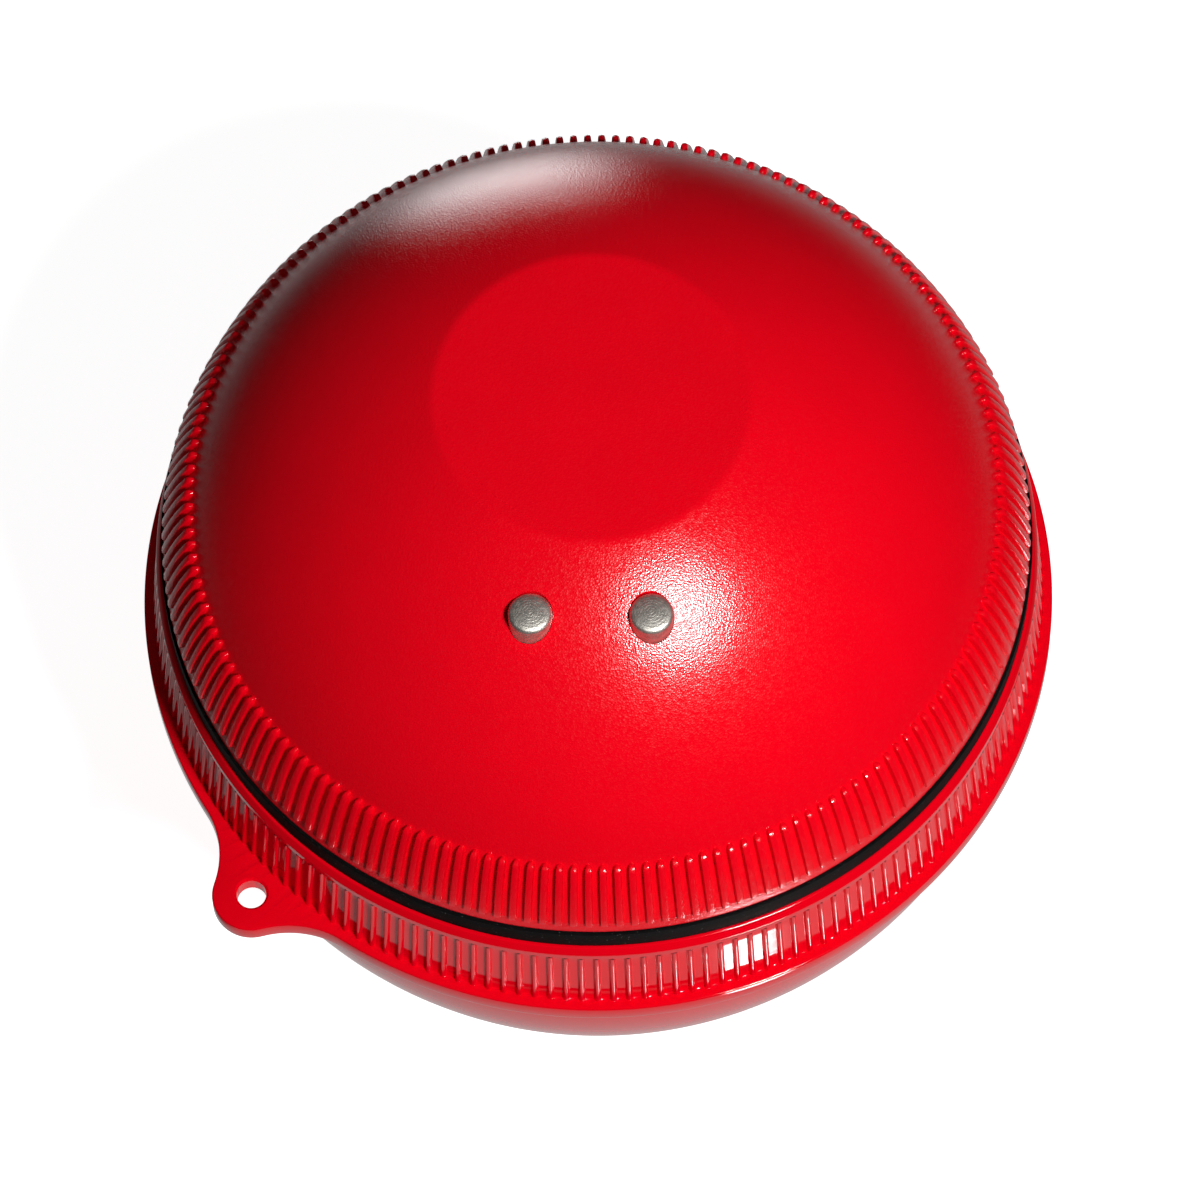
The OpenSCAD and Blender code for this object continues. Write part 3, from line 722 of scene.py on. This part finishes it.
def dress_nodes():
    """Finishes of the pieces that keep their solids, one for each material slot of the record."""
    slots = {
        "o_ring_rubber": dict(colour=(0.012, 0.012, 0.012), roughness=0.45, grain=4e-6),
        "white_plastic": dict(colour=(0.72, 0.71, 0.68), roughness=0.42, grain=4e-6),
        "screw_steel": dict(colour=(0.62, 0.62, 0.63), roughness=0.28, metallic=1.0, tone=0.15,
                            grain=2e-6),
        "gilt_spring": dict(colour=(0.86, 0.64, 0.27), roughness=0.25, metallic=1.0, tone=0.1),
        "clear_glue": dict(colour=(0.7, 0.66, 0.52), roughness=0.2, grain=8e-6, grain_scale=1500),
        "sounder_brass": dict(colour=(0.78, 0.6, 0.28), roughness=0.3, metallic=1.0, tone=0.12),
        "sounder_ceramic": dict(colour=(0.62, 0.6, 0.55), roughness=0.6, grain=3e-6),
        "electrode_silver": dict(colour=(0.85, 0.84, 0.81), roughness=0.4, metallic=1.0, tone=0.1,
                                 grain=2e-6),
        "red_wire": dict(colour=(0.6, 0.02, 0.015), roughness=0.4),
        "black_wire": dict(colour=(0.015, 0.015, 0.015), roughness=0.4),
        "solder": dict(colour=(0.74, 0.74, 0.74), roughness=0.3, metallic=1.0, grain=6e-6,
                       grain_scale=1800),
        "green_board": dict(colour=(0.01, 0.16, 0.05), roughness=0.3, tone=0.25, tone_scale=900,
                            coat=0.3),
        "black_epoxy": dict(colour=(0.02, 0.02, 0.022), roughness=0.5, grain=5e-6,
                            grain_scale=9000),
        "crystal_can": dict(colour=(0.78, 0.77, 0.72), roughness=0.22, metallic=1.0, tone=0.08),
        "tan_ceramic": dict(colour=(0.5, 0.34, 0.2), roughness=0.4, grain=3e-6),
        "black_chip": dict(colour=(0.02, 0.02, 0.02), roughness=0.35, grain=3e-6),
        "ferrite": dict(colour=(0.05, 0.048, 0.046), roughness=0.6, grain=8e-6, grain_scale=4000),
        "copper": dict(colour=(0.72, 0.3, 0.14), roughness=0.3, metallic=1.0, tone=0.12,
                       tone_scale=2500),
        "holder_plastic": dict(colour=(0.03, 0.03, 0.032), roughness=0.5, grain=5e-6),
        "clip_steel": dict(colour=(0.66, 0.66, 0.64), roughness=0.3, metallic=1.0, tone=0.1),
        "cell_steel": dict(colour=(0.74, 0.74, 0.72), roughness=0.24, metallic=1.0, tone=0.08,
                           grain=1.5e-6),
        "gasket_plastic": dict(colour=(0.03, 0.035, 0.05), roughness=0.5),
    }
    finishes = {slot: finish(slot, **looks) for slot, looks in slots.items()}
    for part in frame["record"]["subparts"]:
        if part["material_slot"] in finishes:
            dress(frame["nodes"][part["node"]], finishes[part["material_slot"]])


dome = make_dome()
bowl = make_bowl()
seal = make_seal()
studs = {side: make_stud(side) for side in ("left", "right")}

RED = (0.855, 0.0, 0.009)
red_dome = finish("red_dome", RED, 0.2, grain=8.5e-6, grain_scale=11500, tone=0.02, shine=0.6,
                  sparkle=0.35)
red_bowl = finish("red_bowl", RED, 0.07, tone=0.02, grain=1.5e-6, grain_scale=2500)
black_rubber = finish("black_rubber", (0.004, 0.004, 0.004), 0.6, tone=0.3, tone_scale=3000,
                      grain=1.5e-5, grain_scale=7000, shine=0.03, dust=0.12)
nickel = finish("nickel", (0.8, 0.76, 0.69), 0.52, 1.0, tone=0.15, tone_scale=3500, grain=8e-6,
                grain_scale=6000, turned=5e-6)
dress_nodes()

looks = {"red_dome": red_dome, "red_bowl": red_bowl, "black_rubber": black_rubber, "nickel": nickel}
for piece, node, body, slot in ((dome, "top_shell", "upper_half", "red_dome"),
                                (bowl, "bottom_shell", "lower_half", "red_bowl"),
                                (seal, "seal_ring", "seal", "black_rubber"),
                                (studs["left"], "contact_stud_left", "upper_half", "nickel"),
                                (studs["right"], "contact_stud_right", "upper_half", "nickel")):
    dress(piece, looks[slot])
    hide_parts(node)
    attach(piece, body)


# ---- Stage, light and camera ----

FLOOR_REACH = 3000      # mm
FLOOR_GLOW = 0.93       # what lifts the lit floor to white for the camera
NEAR_LEVEL = 0.5        # what gloss mirrors of the lit floor round the case
FAR_LEVEL = 4.2         # and of its bright far end
REST_LEVEL = 0.008      # and of the rest of the room
FILL_LEVEL = 0.07       # light from all sides on what the key doesn't reach
LAMP_REACH = 0.5        # m
LAMP_CONE = 14          # degrees
LAMP_BLEND = 0.55
CASE_MIDDLE = Vector((0, 0, flange_z * MM))


def make_floor():
    """A plain pale floor, white to the camera, that keeps the shadow. It neither shows in gloss
    nor casts a shadow: the world and a lamp below the floor stand for its light there."""
    corners = [(x * FLOOR_REACH, y * FLOOR_REACH, 0)
               for x, y in ((-1, -1), (1, -1), (1, 1), (-1, 1))]
    floor = mesh_object("floor", corners, [(0, 1, 2, 3)])
    made = bpy.data.materials.new("floor_paint")
    tree = Tree(made)
    shader = tree.nodes["Principled BSDF"]
    shader.inputs["Roughness"].default_value = 0.6
    place = tree.add("TexCoord")
    drift = tree.add("TexNoise", Vector=place.outputs["Object"], Scale=30)
    tint = tree.add("ValToRGB", Fac=drift.outputs["Fac"])
    for element, grey in zip(tint.color_ramp.elements, (0.66, 0.72)):
        element.color = (grey, grey, grey, 1)
    tree.feed(shader.inputs["Base Color"], tint.outputs["Color"])
    glow = tree.add("Emission", Strength=tree.seen(FLOOR_GLOW))
    both = tree.add("AddShader")
    tree.feed(both.inputs[0], shader.outputs["BSDF"])
    tree.feed(both.inputs[1], glow.outputs["Emission"])
    tree.feed(tree.nodes["Material Output"].inputs["Surface"], both.outputs["Shader"])
    dress(floor, made)
    floor.visible_glossy = False
    floor.visible_shadow = False


def make_world():
    """White behind the case for the camera and through glass, a dim fill, and what gloss mirrors
    in the photograph: the lit floor below, its bright far end, and little else."""
    world = bpy.data.worlds.new("studio")
    tree = Tree(world)
    direction = tree.add("TexCoord").outputs["Generated"]
    x, y, z = tree.add("SeparateXYZ", Vector=direction).outputs
    # Steep rays mirror the floor round the case, except those to the front left
    not_front_left = tree.math("MAXIMUM", tree.eased(x, -0.62, -0.38), tree.eased(y, -0.2, 0.4))
    near = tree.math("MULTIPLY", tree.eased(z, -0.45, -0.85, NEAR_LEVEL), not_front_left)
    # Flat rays away from the front mirror a patch of its far end
    across = tree.joined("VectorMath", "DOT_PRODUCT", direction, (0.983, 0.182, 0))
    aside = tree.math("ABSOLUTE", across.outputs["Value"])
    far = tree.math("MULTIPLY", tree.eased(aside, 0.2, 0.1), tree.math("GREATER_THAN", y, 0.3))
    far = tree.math("MULTIPLY", far, tree.eased(z, -0.08, -0.2))
    far = tree.math("MULTIPLY", far, tree.eased(z, -0.6, -0.42, FAR_LEVEL))
    mirrored = tree.math("ADD", tree.math("ADD", near, far), REST_LEVEL)
    path = tree.add("LightPath").outputs
    gloss = tree.math("MULTIPLY", mirrored, path["Is Glossy Ray"])
    fill = tree.math("MULTIPLY", path["Is Diffuse Ray"], FILL_LEVEL)
    total = tree.math("ADD", tree.math("ADD", gloss, fill), tree.seen(1))
    background = tree.nodes["Background"].inputs
    tree.feed(background["Strength"], total)
    tree.feed(background["Color"], (1, 1, 1, 1))
    world.cycles.sampling_method = "NONE"
    bpy.context.scene.world = world


def spot(name, direction, radius, power):
    """A spot lamp that points at the case from a direction."""
    data = bpy.data.lights.new(name, "SPOT")
    data.energy = power
    data.shadow_soft_size = radius
    data.spot_size = math.radians(LAMP_CONE)
    data.spot_blend = LAMP_BLEND
    lamp = bpy.data.objects.new(name, data)
    lamp.location = CASE_MIDDLE + Vector(direction).normalized() * LAMP_REACH
    lamp.rotation_euler = (CASE_MIDDLE - lamp.location).to_track_quat("-Z", "Y").to_euler()
    bpy.context.scene.collection.objects.link(lamp)


def make_lights():
    """A hard key from the front right, and its gleam from the floor."""
    spot("key", (0.358, -0.521, 0.775), 0.05, 11.7)
    spot("gleam", (0.35, -0.526, -0.775), 0.042, 1.6)


def view_axes(start, target):
    """Right, up and forward for a level view."""
    forward = (target - start).normalized()
    right = (Vector((1, 0, 0)) - forward * forward.x).normalized()
    return right, right.cross(forward), forward


def make_camera():
    """The photograph's viewpoint: a long lens, high in front of the case and a little to its
    right."""
    elevation = math.radians(64.7)
    distance = 0.370
    aside = 0.0056
    aim_right, aim_down = 0.0000925, 0.000486
    data = bpy.data.cameras.new("camera")
    data.lens = 240
    data.sensor_width = 36
    camera = bpy.data.objects.new("camera", data)
    camera.location = CASE_MIDDLE + Vector((aside, -distance * math.cos(elevation),
                                            distance * math.sin(elevation)))
    bpy.context.scene.collection.objects.link(camera)
    right, up, _ = view_axes(camera.location, CASE_MIDDLE)
    target = CASE_MIDDLE + right * aim_right - up * aim_down
    right, up, forward = view_axes(camera.location, target)
    camera.rotation_euler = Matrix((right, up, -forward)).transposed().to_euler()
    bpy.context.scene.camera = camera


make_floor()
make_lights()
make_world()
make_camera()
bpy.context.scene.view_settings.view_transform = "Standard"
